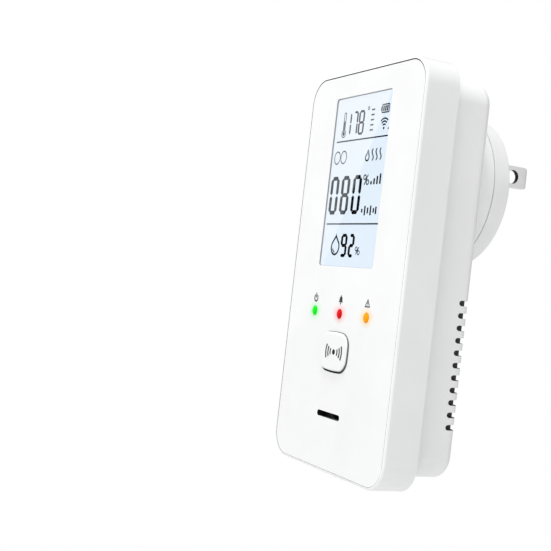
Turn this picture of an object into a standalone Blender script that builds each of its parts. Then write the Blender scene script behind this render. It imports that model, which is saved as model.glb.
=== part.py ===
"""Plug-in carbon monoxide and gas detector, built as separate pieces.

Frame: the origin is the centre of the plug disc's rear face, which lies against the wall plate.
+Y points into the wall, -Y is the way the display faces, +Z is up, and +X is the viewer's right.
"""

import math

import bmesh
import bpy
from mathutils import Vector

MM = 0.001
GAP = 0.3 * MM                      # clearance between pieces that touch

# Case
CASE_HEIGHT = 112.0 * MM
CASE_WIDTH = 61.0 * MM
CASE_CORNER = 7.6 * MM              # corner radius of the outline
PLUG_ABOVE_CENTRE = 26.2 * MM       # height of the plug's axis above the middle of the case
FRONT_Y = -36.5 * MM                # front face
FRONT_DEPTH = 10.1 * MM             # front cover, face to rear edge
FACE_BEVEL = 0.6 * MM
WALL = 2.0 * MM
REAR_INSET = 3.5 * MM               # rear cover's side wall, in from the front cover's
REAR_ROUND = 2.5 * MM               # rear cover's outer edge
REAR_CORNER = 6.4 * MM              # rear cover's corner radius, seen from behind
FLANGE_THICK = 1.3 * MM             # rear cover's flange, nested in the front cover
REAR_Y = -12.8 * MM                 # rear cover's flat back
SMALLEST_CORNER = 0.2 * MM

# Plug
COLLAR_RADIUS = 22.2 * MM
COLLAR_END_Y = -6.2 * MM            # parting line between collar and plug cap
CAP_FACE_RADIUS = 21.4 * MM
CAP_FLOOR = 2.4 * MM
BLADE_SPACING = 12.7 * MM
BLADE_ABOVE_AXIS = 6.2 * MM
BLADE_THICK = 1.5 * MM
BLADE_LENGTH = 16.8 * MM
LINE_BLADE_WIDTH = 6.35 * MM
NEUTRAL_BLADE_WIDTH = 7.94 * MM
BLADE_HOLE_RADIUS = 1.985 * MM
BLADE_HOLE_Y = 11.6 * MM
BLADE_TAB_Y = -4.4 * MM             # inner end of each blade

# Vents
VENT_COUNT = 11
VENT_PITCH = 3.26 * MM
VENT_TOP_Z = -32.0 * MM
VENT_HEIGHT = 1.4 * MM
VENT_FRONT = 3.8 * MM               # reach along the side wall, ahead of the back
VENT_INNER_X = 22.0 * MM            # reach across the back, inner end of each slot

# Display
WINDOW_WIDTH = 30.0 * MM
WINDOW_LOW_Z = -25.85 * MM
WINDOW_HIGH_Z = 22.5 * MM
WINDOW_CORNER = 1.0 * MM
WINDOW_RECESS = 0.1 * MM
WINDOW_THICK = 0.4 * MM
LCD_THICK = 2.0 * MM
LCD_FRAME_WALL = 1.2 * MM

# Indicators, button and sounder on the face
LED_Z = -38.6 * MM
LED_SPACING = 14.2 * MM
PIPE_RADIUS = 1.3 * MM
PIPE_PROUD = 0.5 * MM               # dome of each light pipe, ahead of the face
PIPE_END_Y = -32.1 * MM
LED_RADIUS = 1.5 * MM
BUTTON_Z = -49.15 * MM
BUTTON_WIDTH = 15.2 * MM
BUTTON_HEIGHT = 11.0 * MM
BUTTON_CORNER = 3.2 * MM
BUTTON_BOW = 0.7 * MM                # how far the middle of each side bulges
BUTTON_PROUD = 0.7 * MM
BUTTON_EDGE = 0.5 * MM               # rounding of the cap's front edge
BUTTON_STEM_END_Y = -32.5 * MM
SLOT_Z = -66.6 * MM
SLOT_WIDTH = 12.4 * MM
SLOT_HEIGHT = 1.6 * MM
BUZZER_RADIUS = 9.4 * MM

# Circuit boards
BOARD_THICK = 1.6 * MM
MAIN_BOARD_Y = -27.8 * MM           # front surface
MAIN_BOARD_WIDTH = 47.4 * MM
MAIN_BOARD_LOW_Z = -76.0 * MM
MAIN_BOARD_HIGH_Z = 23.6 * MM
POWER_BOARD_Y = -20.1 * MM          # front surface
POWER_BOARD_WIDTH = 33.0 * MM
POWER_BOARD_HEIGHT = 42.0 * MM

# Screws: places as (x, z)
CASE_SCREWS = [(x * MM, z * MM) for z in (20.0, -72.6) for x in (-21.2, 21.2)]
POWER_SCREWS = [(x * MM, z * MM) for z in (18.6, -18.6) for x in (-13.5, 13.5)]
CASE_SCREW_RADIUS = 1.3 * MM
CASE_HEAD_RADIUS = 2.3 * MM
CASE_HEAD_RECESS = 2.2 * MM
POST_RADIUS = 3.0 * MM
BOSS_RADIUS = 2.8 * MM
POWER_SCREW_RADIUS = 0.9 * MM
POWER_HEAD_RADIUS = 1.8 * MM
POWER_BOSS_RADIUS = 2.2 * MM

# Worked out from the above
CASE_CENTRE_Z = -PLUG_ABOVE_CENTRE
FRONT_END_Y = FRONT_Y + FRONT_DEPTH
FACE_INNER_Y = FRONT_Y + WALL
BACK_INNER_Y = REAR_Y - WALL
BOARD_FRONT_Y = MAIN_BOARD_Y - GAP              # where pieces on the main board's front begin
BOARD_REAR_Y = MAIN_BOARD_Y + BOARD_THICK + GAP
POWER_REAR_Y = POWER_BOARD_Y + BOARD_THICK + GAP
WINDOW_HEIGHT = WINDOW_HIGH_Z - WINDOW_LOW_Z
WINDOW_Z = (WINDOW_HIGH_Z + WINDOW_LOW_Z) / 2

CORNER_STEPS = 8
ROUND_SIDES = 48
SMALL_SIDES = 20


def clear_scene():
    for thing in list(bpy.data.objects):
        bpy.data.objects.remove(thing, do_unlink=True)


def material(name, colour, roughness, metallic=0.0, alpha=1.0):
    look = bpy.data.materials.new(name)
    look.use_nodes = True
    shader = look.node_tree.nodes["Principled BSDF"]
    shader.inputs["Base Color"].default_value = (*colour, 1.0)
    shader.inputs["Roughness"].default_value = roughness
    shader.inputs["Metallic"].default_value = metallic
    shader.inputs["Alpha"].default_value = alpha
    return look


def rectangle(width, height, radius, steps=CORNER_STEPS):
    """Outline points (x, z) of a rounded rectangle about its own centre."""
    radius = min(max(radius, SMALLEST_CORNER), 0.45 * min(width, height))
    points = []
    for quarter, (sx, sz) in enumerate(((1, 1), (-1, 1), (-1, -1), (1, -1))):
        cx = sx * (width / 2 - radius)
        cz = sz * (height / 2 - radius)
        for step in range(steps + 1):
            angle = math.radians(90 * (quarter + step / steps))
            points.append((cx + radius * math.cos(angle), cz + radius * math.sin(angle)))
    return points


def pillow(width, height, radius, bow, steps=5, side_steps=4):
    """Outline of a rounded rectangle whose sides bulge by bow; width and height are its largest."""
    width -= 2 * bow
    height -= 2 * bow
    corners = rectangle(width, height, radius, steps)
    points = []
    for i, (px, pz) in enumerate(corners):
        points.append((px, pz))
        if i % (steps + 1) == steps:
            nx, nz = corners[(i + 1) % len(corners)]
            points += [(px + (nx - px) * t / side_steps, pz + (nz - pz) * t / side_steps)
                       for t in range(1, side_steps)]
    return [(px + bow * 2 * px / width * (1 - (2 * pz / height) ** 2),
             pz + bow * 2 * pz / height * (1 - (2 * px / width) ** 2)) for px, pz in points]


def circle(radius, sides=SMALL_SIDES):
    turns = (2 * math.pi * i / sides for i in range(sides))
    return [(radius * math.cos(a), radius * math.sin(a)) for a in turns]


def box_rings(width, height, profile, radius=SMALLEST_CORNER, steps=CORNER_STEPS, x=0.0, z=0.0):
    """Rings along Y of a rounded rectangle; profile holds (y, inset) from one end cap to the other."""
    rings = []
    for y, inset in profile:
        outline = rectangle(width - 2 * inset, height - 2 * inset, radius - inset, steps)
        rings.append([(x + px, y, z + pz) for px, pz in outline])
    return rings


def button_rings(profile, z=0.0):
    """Rings along Y of the button's outline; profile holds (y, inset) from one end cap to the other."""
    rings = []
    for y, inset in profile:
        outline = pillow(BUTTON_WIDTH - 2 * inset, BUTTON_HEIGHT - 2 * inset, BUTTON_CORNER - inset, BUTTON_BOW)
        rings.append([(px, y, z + pz) for px, pz in outline])
    return rings


def round_rings(profile, sides=SMALL_SIDES, x=0.0, z=0.0):
    """Rings along Y of a turned shape; profile holds (y, radius) from one end cap to the other."""
    return [[(x + px, y, z + pz) for px, pz in circle(radius, sides)] for y, radius in profile]


def arc_profile(centre_y, centre_size, radius, start, end, steps, across=1.0):
    """Points (y, size) on an arc in a profile, angles in degrees from +Y towards growing size."""
    points = []
    for step in range(steps + 1):
        angle = math.radians(start + (end - start) * step / steps)
        points.append((centre_y + radius * math.cos(angle),
                       centre_size + across * radius * math.sin(angle)))
    return points


def mesh_object(name, lofts, location=(0.0, 0.0, 0.0), look=None):
    """One object from closed lofts, each a list of equal rings capped at both ends."""
    shape = bmesh.new()
    for rings in lofts:
        rows = [[shape.verts.new(Vector(p)) for p in ring] for ring in rings]
        count = len(rows[0])
        for near, far in zip(rows, rows[1:]):
            for i in range(count):
                j = (i + 1) % count
                shape.faces.new((near[i], near[j], far[j], far[i]))
        shape.faces.new(rows[0])
        shape.faces.new(rows[-1])
    bmesh.ops.recalc_face_normals(shape, faces=shape.faces)
    mesh = bpy.data.meshes.new(name)
    shape.to_mesh(mesh)
    shape.free()
    mesh.shade_smooth()
    mesh.set_sharp_from_angle(angle=math.radians(35))
    thing = bpy.data.objects.new(name, mesh)
    thing.location = location
    bpy.context.scene.collection.objects.link(thing)
    if look:
        mesh.materials.append(look)
    return thing


def boolean(target, operation, name, lofts):
    """Cut lofts out of the target, or join them to it, with a hidden operand object."""
    operand = mesh_object(name, lofts)
    operand.hide_render = True
    operand.display_type = "WIRE"
    modifier = target.modifiers.new(name, "BOOLEAN")
    modifier.operation = operation
    modifier.solver = "EXACT"
    modifier.object = operand


def cut(target, name, lofts):
    boolean(target, "DIFFERENCE", name, lofts)


def join(target, name, lofts):
    boolean(target, "UNION", name, lofts)


def straight(start, end, inset=0.0):
    return [(start, inset), (end, inset)]


def case_rings(profile):
    return box_rings(CASE_WIDTH, CASE_HEIGHT, profile, CASE_CORNER, z=CASE_CENTRE_Z)


def block(name, width, height, y_from, y_to, x, z, look, radius=0.4 * MM, steps=2):
    """A plain rounded block on a board: width along X, height along Z."""
    rings = box_rings(width, height, straight(0.0, y_to - y_from), radius, steps)
    return mesh_object(name, [rings], (x, y_from, z), look)


def front_cover():
    plastic = material("front_cover", (0.90, 0.91, 0.92), 0.35)
    profile = [
        (FACE_INNER_Y, WALL),
        (FRONT_END_Y, WALL),
        (FRONT_END_Y, 0.0),
        (FRONT_Y + FACE_BEVEL, 0.0),
        (FRONT_Y + 0.3 * FACE_BEVEL, 0.3 * FACE_BEVEL),
        (FRONT_Y, FACE_BEVEL),
    ]
    cover = mesh_object("front_cover", [case_rings(profile)], look=plastic)
    boss_ends = (FACE_INNER_Y - WALL / 2, BOARD_FRONT_Y)
    join(cover, "front_bosses", [
        round_rings([(y, BOSS_RADIUS) for y in boss_ends], x=x, z=z) for x, z in CASE_SCREWS
    ])
    cut(cover, "front_pilots", [
        round_rings([(y, CASE_SCREW_RADIUS + GAP) for y in (FACE_INNER_Y, BOARD_FRONT_Y + GAP)], x=x, z=z)
        for x, z in CASE_SCREWS
    ])
    through = straight(FRONT_Y - WALL, FACE_INNER_Y + WALL / 2)
    openings = [
        box_rings(WINDOW_WIDTH, WINDOW_HEIGHT, through, WINDOW_CORNER, 3, z=WINDOW_Z),
        button_rings([(y, -GAP) for y, _ in through], BUTTON_Z),
        box_rings(SLOT_WIDTH, SLOT_HEIGHT, through, SLOT_HEIGHT / 2 - 0.01 * MM, 4, z=SLOT_Z),
    ]
    for x in led_places():
        hole = [(y, PIPE_RADIUS + GAP) for y, _ in through]
        openings.append(round_rings(hole, x=x, z=LED_Z))
    cut(cover, "front_openings", openings)


def led_places():
    return (-LED_SPACING, 0.0, LED_SPACING)


def vent_heights():
    return [VENT_TOP_Z - i * VENT_PITCH for i in range(VENT_COUNT)]


def stadium(length, width, steps=4):
    """Outline (u, v) of a slot that runs from u = 0 to u = length, with round ends."""
    radius = width / 2
    points = []
    for centre, first in ((length - radius, -90), (radius, 90)):
        for step in range(steps + 1):
            angle = math.radians(first + 180 * step / steps)
            points.append((centre + radius * math.cos(angle), radius * math.sin(angle)))
    return points


def vent_lofts(side):
    """Slots through one side wall, and the slots that carry them on across the back."""
    outer_x = CASE_WIDTH / 2
    radius = VENT_HEIGHT / 2
    wall_start = REAR_Y - VENT_FRONT
    wall_slot = stadium(VENT_FRONT + 4 * MM, VENT_HEIGHT)
    back_slot = stadium(outer_x - VENT_INNER_X, VENT_HEIGHT + 0.1 * MM)
    wall_lofts = []
    back_lofts = []
    for z in vent_heights():
        wall_lofts.append([
            [(side * x, wall_start + u, z + v) for u, v in wall_slot]
            for x in (outer_x - REAR_INSET - WALL - MM, outer_x)
        ])
        back_lofts.append([
            [(side * (VENT_INNER_X + u), y, z + v) for u, v in back_slot]
            for y in (wall_start + radius, REAR_Y + MM)
        ])
    return wall_lofts, back_lofts


def rear_cover():
    plastic = material("rear_cover", (0.88, 0.89, 0.90), 0.4)
    nest = WALL + GAP
    inner = REAR_INSET + WALL
    rounding = arc_profile(REAR_Y - REAR_ROUND, -REAR_INSET - REAR_ROUND, REAR_ROUND, 90, 0, 4)
    profile = [
        (BACK_INNER_Y, inner),
        (FRONT_END_Y - FLANGE_THICK, inner),
        (FRONT_END_Y - FLANGE_THICK, nest),
        (FRONT_END_Y, nest),
        (FRONT_END_Y, REAR_INSET),
    ] + [(y, -size) for y, size in rounding]
    outside = len(rounding) + 1
    rings = case_rings(profile[:-outside])
    rings += box_rings(CASE_WIDTH, CASE_HEIGHT, profile[-outside:], REAR_CORNER + REAR_INSET, z=CASE_CENTRE_Z)
    cover = mesh_object("rear_cover", [rings], look=plastic)
    anchor_y = REAR_Y - WALL / 2
    additions = [round_rings([(anchor_y, COLLAR_RADIUS), (COLLAR_END_Y, COLLAR_RADIUS)], ROUND_SIDES)]
    for x, z in CASE_SCREWS:
        additions.append(round_rings([(BOARD_REAR_Y, POST_RADIUS), (anchor_y, POST_RADIUS)], x=x, z=z))
    for x, z in POWER_SCREWS:
        ends = [(POWER_REAR_Y, POWER_BOSS_RADIUS), (anchor_y, POWER_BOSS_RADIUS)]
        additions.append(round_rings(ends, x=x, z=z))
    join(cover, "rear_additions", additions)
    bore = COLLAR_RADIUS - WALL
    holes = [round_rings([(BACK_INNER_Y - MM, bore), (COLLAR_END_Y + MM, bore)], ROUND_SIDES)]
    recess_y = REAR_Y - CASE_HEAD_RECESS
    for x, z in CASE_SCREWS:
        holes.append(round_rings([
            (BOARD_REAR_Y - MM, CASE_SCREW_RADIUS + GAP),
            (recess_y, CASE_SCREW_RADIUS + GAP),
            (recess_y, CASE_HEAD_RADIUS + GAP),
            (REAR_Y + MM, CASE_HEAD_RADIUS + GAP),
        ], x=x, z=z))
    for x, z in POWER_SCREWS:
        pilot = POWER_SCREW_RADIUS + GAP
        holes.append(round_rings([(POWER_REAR_Y - MM, pilot), (anchor_y, pilot)], x=x, z=z))
    cut(cover, "rear_holes", holes)
    for side, label in ((-1, "left"), (1, "right")):
        wall_lofts, back_lofts = vent_lofts(side)
        cut(cover, "wall_vents_" + label, wall_lofts)
        cut(cover, "back_vents_" + label, back_lofts)


def display():
    clear = material("lcd_window", (0.85, 0.92, 0.95), 0.05, alpha=0.35)
    film_front = FRONT_Y + WINDOW_RECESS
    film_end = film_front + WINDOW_THICK
    film = box_rings(WINDOW_WIDTH, WINDOW_HEIGHT, straight(film_front, film_end, GAP), WINDOW_CORNER, 3)
    mesh_object("lcd_window", [film], (0.0, 0.0, WINDOW_Z), clear)

    glass = material("lcd_panel", (0.62, 0.78, 0.90), 0.2)
    lcd_end = film_end + GAP + LCD_THICK
    block("lcd_panel", WINDOW_WIDTH - 2 * GAP, WINDOW_HEIGHT - 2 * GAP, film_end + GAP, lcd_end,
          0.0, WINDOW_Z, glass)

    strip_height = 2.3 * MM
    strip_z = WINDOW_LOW_Z + MM + strip_height / 2
    rubber = material("lcd_connector", (0.15, 0.15, 0.16), 0.7)
    block("lcd_connector", 28 * MM, strip_height, lcd_end + GAP, BOARD_FRONT_Y, 0.0, strip_z, rubber)

    light_low = strip_z + strip_height / 2 + 0.5 * MM
    diffuser = material("lcd_backlight", (0.93, 0.95, 0.97), 0.5)
    block("lcd_backlight", WINDOW_WIDTH, WINDOW_HIGH_Z - light_low, lcd_end + GAP, BOARD_FRONT_Y, 0.0,
          (WINDOW_HIGH_Z + light_low) / 2, diffuser)

    holder = material("lcd_frame", (0.80, 0.81, 0.82), 0.5)
    frame_front = FACE_INNER_Y + GAP
    inside = (WINDOW_WIDTH + 2 * MM, WINDOW_HEIGHT + 2 * MM)
    outside = [size + 2 * LCD_FRAME_WALL for size in inside]
    ring = box_rings(*outside, straight(frame_front, BOARD_FRONT_Y), 2 * MM, 3, z=WINDOW_Z)
    frame = mesh_object("lcd_frame", [ring], look=holder)
    through = straight(frame_front - MM, BOARD_FRONT_Y + MM)
    cut(frame, "lcd_frame_opening", [box_rings(*inside, through, MM, 2, z=WINDOW_Z)])


def indicators():
    colours = {
        "power": (0.10, 0.75, 0.25),
        "alarm": (0.85, 0.10, 0.10),
        "fault": (0.95, 0.60, 0.05),
    }
    flange_y = FACE_INNER_Y + GAP
    flange_radius = 2.0 * MM
    dome = arc_profile(0.0, 0.0, PIPE_RADIUS, 165, 90, 3)
    flatten = PIPE_PROUD / PIPE_RADIUS
    for (label, colour), x in zip(colours.items(), led_places()):
        pale = tuple(0.5 + 0.5 * c for c in colour)
        pipe = [(FRONT_Y + flatten * y, r) for y, r in dome]
        pipe += [(flange_y, PIPE_RADIUS), (flange_y, flange_radius)]
        pipe += [(flange_y + MM, flange_radius), (flange_y + MM, PIPE_RADIUS), (PIPE_END_Y, PIPE_RADIUS)]
        mesh_object("light_pipe_" + label, [round_rings(pipe)], (x, 0.0, LED_Z),
                    material("light_pipe_" + label, pale, 0.1, alpha=0.6))
        rim = LED_RADIUS + 0.3 * MM
        tip = arc_profile(PIPE_END_Y + GAP + LED_RADIUS, 0.0, LED_RADIUS, 165, 90, 4)
        rim_y = BOARD_FRONT_Y - 0.8 * MM
        lamp = tip + [(rim_y, LED_RADIUS), (rim_y, rim), (BOARD_FRONT_Y, rim)]
        mesh_object("led_" + label, [round_rings(lamp)], (x, 0.0, LED_Z),
                    material("led_" + label, colour, 0.15))


def button_and_switch():
    """The sliding pair is test_button and switch_plunger; their origins lie on the slide's axis."""
    white = material("test_button", (0.90, 0.90, 0.91), 0.35)
    stem_end = BUTTON_STEM_END_Y - FRONT_Y
    flange_y = WALL + GAP
    flange_out = -1.2 * MM
    edge = BUTTON_EDGE
    crown = [(-BUTTON_PROUD + edge - edge * math.cos(a), edge - edge * math.sin(a))
             for a in (math.radians(d) for d in (0, 30, 60, 90))]
    profile = crown + [(flange_y, 0.0), (flange_y, flange_out), (flange_y + MM, flange_out)]
    cap = mesh_object("test_button", [button_rings(profile)], (0.0, FRONT_Y, BUTTON_Z), white)
    stem_radius = 2.2 * MM
    stem = [(FRONT_Y + flange_y + MM / 2, stem_radius), (FRONT_Y + stem_end, stem_radius)]
    join(cap, "button_stem", [round_rings(stem, z=BUTTON_Z)])

    switch_front = -31.3 * MM
    switch_size = 6.2 * MM
    black = material("switch_body", (0.08, 0.08, 0.09), 0.5)
    body = block("switch_body", switch_size, switch_size, switch_front, BOARD_FRONT_Y, 0.0, BUTTON_Z, black)
    plunger_radius = 1.7 * MM
    bore_end = -29.1 * MM
    bore = [(switch_front - MM, plunger_radius + GAP), (bore_end, plunger_radius + GAP)]
    cut(body, "switch_bore", [round_rings(bore, z=BUTTON_Z)])
    plunger = [(0.0, plunger_radius), (2.0 * MM, plunger_radius)]
    mesh_object("switch_plunger", [round_rings(plunger)], (0.0, FRONT_Y + stem_end + GAP, BUTTON_Z),
                material("switch_plunger", (0.75, 0.75, 0.76), 0.5))


def sounder():
    dark = material("buzzer_housing", (0.06, 0.06, 0.07), 0.5)
    front = -33.6 * MM
    wall = 1.0 * MM
    inner = BUZZER_RADIUS - wall
    depth = BOARD_FRONT_Y - front
    cup = [(wall, inner), (depth, inner), (depth, BUZZER_RADIUS), (0.0, BUZZER_RADIUS)]
    housing = mesh_object("buzzer_housing", [round_rings(cup, 32)], (0.0, front, SLOT_Z), dark)
    sound_hole = 2.0 * MM
    hole = [(front - wall, sound_hole), (front + 2 * wall, sound_hole)]
    cut(housing, "buzzer_hole", [round_rings(hole, z=SLOT_Z)])
    brass = material("piezo_disc", (0.80, 0.62, 0.25), 0.3, 1.0)
    disc = [(0.0, inner - GAP), (0.5 * MM, inner - GAP)]
    mesh_object("piezo_disc", [round_rings(disc, 32)], (0.0, -30.6 * MM, SLOT_Z), brass)


def main_board():
    green = material("main_pcb", (0.05, 0.30, 0.14), 0.45)
    height = MAIN_BOARD_HIGH_Z - MAIN_BOARD_LOW_Z
    middle = (MAIN_BOARD_HIGH_Z + MAIN_BOARD_LOW_Z) / 2
    board = block("main_pcb", MAIN_BOARD_WIDTH, height, MAIN_BOARD_Y, MAIN_BOARD_Y + BOARD_THICK, 0.0, middle,
                  green, MM, 3)
    hole = [(y, CASE_SCREW_RADIUS + GAP) for y in (MAIN_BOARD_Y - MM, MAIN_BOARD_Y + BOARD_THICK + MM)]
    cut(board, "main_pcb_holes", [round_rings(hole, x=x, z=z) for x, z in CASE_SCREWS])


def sensors():
    steel = material("co_sensor", (0.70, 0.71, 0.72), 0.3, 1.0)
    cell = [(0.0, 5.0), (8.0, 5.0), (8.0, 3.4), (9.0, 3.4)]
    mesh_object("co_sensor", [round_rings([(y * MM, r * MM) for y, r in cell], 24)],
                (14.0 * MM, BOARD_REAR_Y, -37.0 * MM), steel)
    base = [(0.0, 8.4), (3.4, 8.4)]
    gas_place = (-13.0 * MM, BOARD_REAR_Y, -38.0 * MM)
    mesh_object("gas_sensor_base", [round_rings([(y * MM, r * MM) for y, r in base], 28)], gas_place,
                material("gas_sensor_base", (0.75, 0.30, 0.10), 0.5))
    cap = [(3.7, 7.5), (8.0, 7.5), (9.0, 6.6)]
    mesh_object("gas_sensor_cap", [round_rings([(y * MM, r * MM) for y, r in cap], 28)], gas_place,
                material("gas_sensor_cap", (0.66, 0.66, 0.64), 0.4, 1.0))
    block("humidity_sensor", 3.0 * MM, 3.0 * MM, BOARD_REAR_Y, BOARD_REAR_Y + 1.1 * MM, 18.5 * MM, -52.0 * MM,
          material("humidity_sensor", (0.85, 0.85, 0.84), 0.4))


def board_electronics():
    block("wifi_module", 16.0 * MM, 24.0 * MM, BOARD_REAR_Y, BOARD_REAR_Y + 3.2 * MM, -8.0 * MM, -61.5 * MM,
          material("wifi_module", (0.72, 0.73, 0.74), 0.3, 1.0), MM, 3)
    block("microcontroller", 10.0 * MM, 10.0 * MM, BOARD_REAR_Y, BOARD_REAR_Y + 1.6 * MM, 11 * MM, -64 * MM,
          material("microcontroller", (0.04, 0.04, 0.05), 0.4))
    block("backup_battery", 30.0 * MM, 32.0 * MM, BOARD_REAR_Y, BOARD_REAR_Y + 4.4 * MM, 0.0, 0.0,
          material("backup_battery", (0.55, 0.58, 0.62), 0.3, 0.6), 1.5 * MM, 3)
    block("board_link", 12.0 * MM, 2.5 * MM, BOARD_REAR_Y, POWER_BOARD_Y - GAP, 0.0, -19.6 * MM,
          material("board_link", (0.05, 0.05, 0.05), 0.6))


def power_supply():
    tan = material("power_pcb", (0.30, 0.32, 0.12), 0.5)
    board_end = POWER_BOARD_Y + BOARD_THICK
    board = block("power_pcb", POWER_BOARD_WIDTH, POWER_BOARD_HEIGHT, POWER_BOARD_Y, board_end, 0.0, 0.0,
                  tan, MM, 3)
    hole = [(y, POWER_SCREW_RADIUS + GAP) for y in (POWER_BOARD_Y - MM, board_end + MM)]
    cut(board, "power_pcb_holes", [round_rings(hole, x=x, z=z) for x, z in POWER_SCREWS])

    block("transformer", 13.0 * MM, 12.5 * MM, POWER_REAR_Y, POWER_REAR_Y + 8.8 * MM, -6.5 * MM, -7.5 * MM,
          material("transformer", (0.85, 0.70, 0.15), 0.5), 0.8 * MM, 3)
    block("film_capacitor", 4.5 * MM, 9.0 * MM, POWER_REAR_Y, POWER_REAR_Y + 8.8 * MM, -13.4 * MM, 5.0 * MM,
          material("film_capacitor", (0.75, 0.12, 0.08), 0.4), 0.6 * MM, 3)
    block("bridge_rectifier", 5.0 * MM, 5.0 * MM, POWER_REAR_Y, POWER_REAR_Y + 2.4 * MM, 0.0, 14.5 * MM,
          material("bridge_rectifier", (0.05, 0.05, 0.05), 0.5))
    lying_can("bulk_capacitor", 4.0 * MM, 12.0 * MM, 7.5 * MM, -7.5 * MM,
              material("bulk_capacitor", (0.10, 0.12, 0.25), 0.35))
    lying_can("fuse", 1.8 * MM, 9.0 * MM, 14.0 * MM, -3.5 * MM,
              material("fuse", (0.75, 0.80, 0.80), 0.1))


def lying_can(name, radius, length, x, z, look):
    """A cylinder lying along Z on the power board's rear surface."""
    ends = [(-length / 2, radius), (length / 2, radius)]
    can = mesh_object(name, [round_rings(ends)], (x, POWER_REAR_Y + radius, z), look)
    can.rotation_euler = (math.radians(90), 0.0, 0.0)


def plug_cap():
    white = material("plug_cap", (0.87, 0.88, 0.89), 0.4)
    skirt_end = -9.0 * MM
    skirt = COLLAR_RADIUS - WALL - GAP
    inner = skirt - WALL
    rounding = 0.8 * MM
    curve = arc_profile(-rounding, CAP_FACE_RADIUS - rounding, rounding, 80, 0, 4)
    profile = [
        (-CAP_FLOOR, inner),
        (skirt_end, inner),
        (skirt_end, skirt),
        (COLLAR_END_Y + GAP, skirt),
        (COLLAR_END_Y + GAP, COLLAR_RADIUS),
    ] + curve
    cap = mesh_object("plug_cap", [round_rings(profile, ROUND_SIDES)], look=white)
    slots = []
    for x, width in blade_sizes().values():
        slots.append(box_rings(BLADE_THICK + 2 * GAP, width + 2 * GAP, straight(-CAP_FLOOR - MM, MM),
                               x=x, z=BLADE_ABOVE_AXIS, steps=2))
    cut(cap, "blade_slots", slots)


def blade_sizes():
    """Place along X and width along Z of each blade; the wider one is neutral."""
    return {
        "line": (BLADE_SPACING / 2, LINE_BLADE_WIDTH),
        "neutral": (-BLADE_SPACING / 2, NEUTRAL_BLADE_WIDTH),
    }


def blades():
    shoulder_y = -CAP_FLOOR - 0.6 * MM
    tab_width = 3.6 * MM
    tab_thick = 0.8 * BLADE_THICK
    taper = 1.6 * MM
    for label, (x, width) in blade_sizes().items():
        sections = [
            (BLADE_TAB_Y, tab_thick, tab_width),
            (shoulder_y, tab_thick, tab_width),
            (shoulder_y, BLADE_THICK, width),
            (BLADE_LENGTH - taper, BLADE_THICK, width),
            (BLADE_LENGTH, 0.5 * BLADE_THICK, width - 1.4 * taper),
        ]
        rings = [[(px, y, pz) for px, pz in rectangle(thick, wide, 0.3 * MM, 2)]
                 for y, thick, wide in sections]
        blade = mesh_object(label + "_blade", [rings], (x, 0.0, BLADE_ABOVE_AXIS),
                            material(label + "_blade", (0.78, 0.72, 0.55), 0.25, 1.0))
        hole = [[(side, BLADE_HOLE_Y + u, BLADE_ABOVE_AXIS + v) for u, v in circle(BLADE_HOLE_RADIUS, 24)]
                for side in (x - BLADE_THICK, x + BLADE_THICK)]
        cut(blade, label + "_blade_hole", [hole])


def leads():
    """Short wires from each blade's tab to the power board."""
    ends = {
        "line": ((6.35, 6.2), (9.6, 9.0), (0.10, 0.10, 0.10)),
        "neutral": ((-6.35, 6.2), (-6.6, 11.0), (0.85, 0.85, 0.85)),
    }
    start_y = BLADE_TAB_Y - GAP
    radius = 0.8 * MM
    points = 10
    for label, (tab, pad, colour) in ends.items():
        curve = bpy.data.curves.new(label + "_lead", "CURVE")
        curve.dimensions = "3D"
        curve.bevel_depth = radius
        curve.bevel_resolution = 2
        curve.use_fill_caps = True
        spline = curve.splines.new("POLY")
        spline.points.add(points - 1)
        for i, point in enumerate(spline.points):
            t = i / (points - 1)
            ease = t * t * (3 - 2 * t)
            x = tab[0] + (pad[0] - tab[0]) * ease
            z = tab[1] + (pad[1] - tab[1]) * ease
            y = start_y + (POWER_REAR_Y - start_y) * t
            point.co = (x * MM, y, z * MM, 1.0)
        curve.materials.append(material(label + "_lead", colour, 0.5))
        bpy.context.scene.collection.objects.link(bpy.data.objects.new(label + "_lead", curve))


def screws():
    case_end = -33.5 * MM
    seat = REAR_Y - CASE_HEAD_RECESS + GAP
    head_top = REAR_Y - 0.4 * MM
    for number, (x, z) in enumerate(CASE_SCREWS, 1):
        name = "case_screw_%d" % number
        screw(name, x, z, [(case_end, CASE_SCREW_RADIUS), (seat, CASE_SCREW_RADIUS),
              (seat, CASE_HEAD_RADIUS), (head_top, CASE_HEAD_RADIUS)], head_top)
    power_end = REAR_Y - WALL / 2 - 2 * GAP
    seat = POWER_BOARD_Y - GAP
    head_top = seat - 1.2 * MM
    for number, (x, z) in enumerate(POWER_SCREWS, 1):
        name = "board_screw_%d" % number
        screw(name, x, z, [(power_end, POWER_SCREW_RADIUS), (seat, POWER_SCREW_RADIUS),
              (seat, POWER_HEAD_RADIUS), (head_top, POWER_HEAD_RADIUS)], head_top)


def screw(name, x, z, profile, head_top):
    """A screw along Y with a cross recess in its head."""
    steel = material(name, (0.72, 0.73, 0.74), 0.3, 1.0)
    thing = mesh_object(name, [round_rings(profile, 16)], (x, 0.0, z), steel)
    arm = 0.55 * MM
    reach = 2.4 * MM
    deep = 0.7 * MM
    ends = (head_top - deep, head_top + deep)
    for label, width, height in (("level", reach, arm), ("upright", arm, reach)):
        cut(thing, name + "_" + label, [box_rings(width, height, straight(*ends), 0.05 * MM, 1, x=x, z=z)])


def main():
    clear_scene()
    front_cover()
    display()
    indicators()
    button_and_switch()
    sounder()
    main_board()
    sensors()
    board_electronics()
    rear_cover()
    power_supply()
    plug_cap()
    blades()
    leads()
    screws()


main()
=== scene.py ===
"""Looks of the plug-in carbon monoxide and gas detector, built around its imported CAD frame.

The shared frame: origin at the centre of the plug's rear face, +Y into the wall, -Y the way the display
faces, +Z up, +X the viewer's right. Sizes are in metres, written as millimetres times MM.
"""

import math

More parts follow.
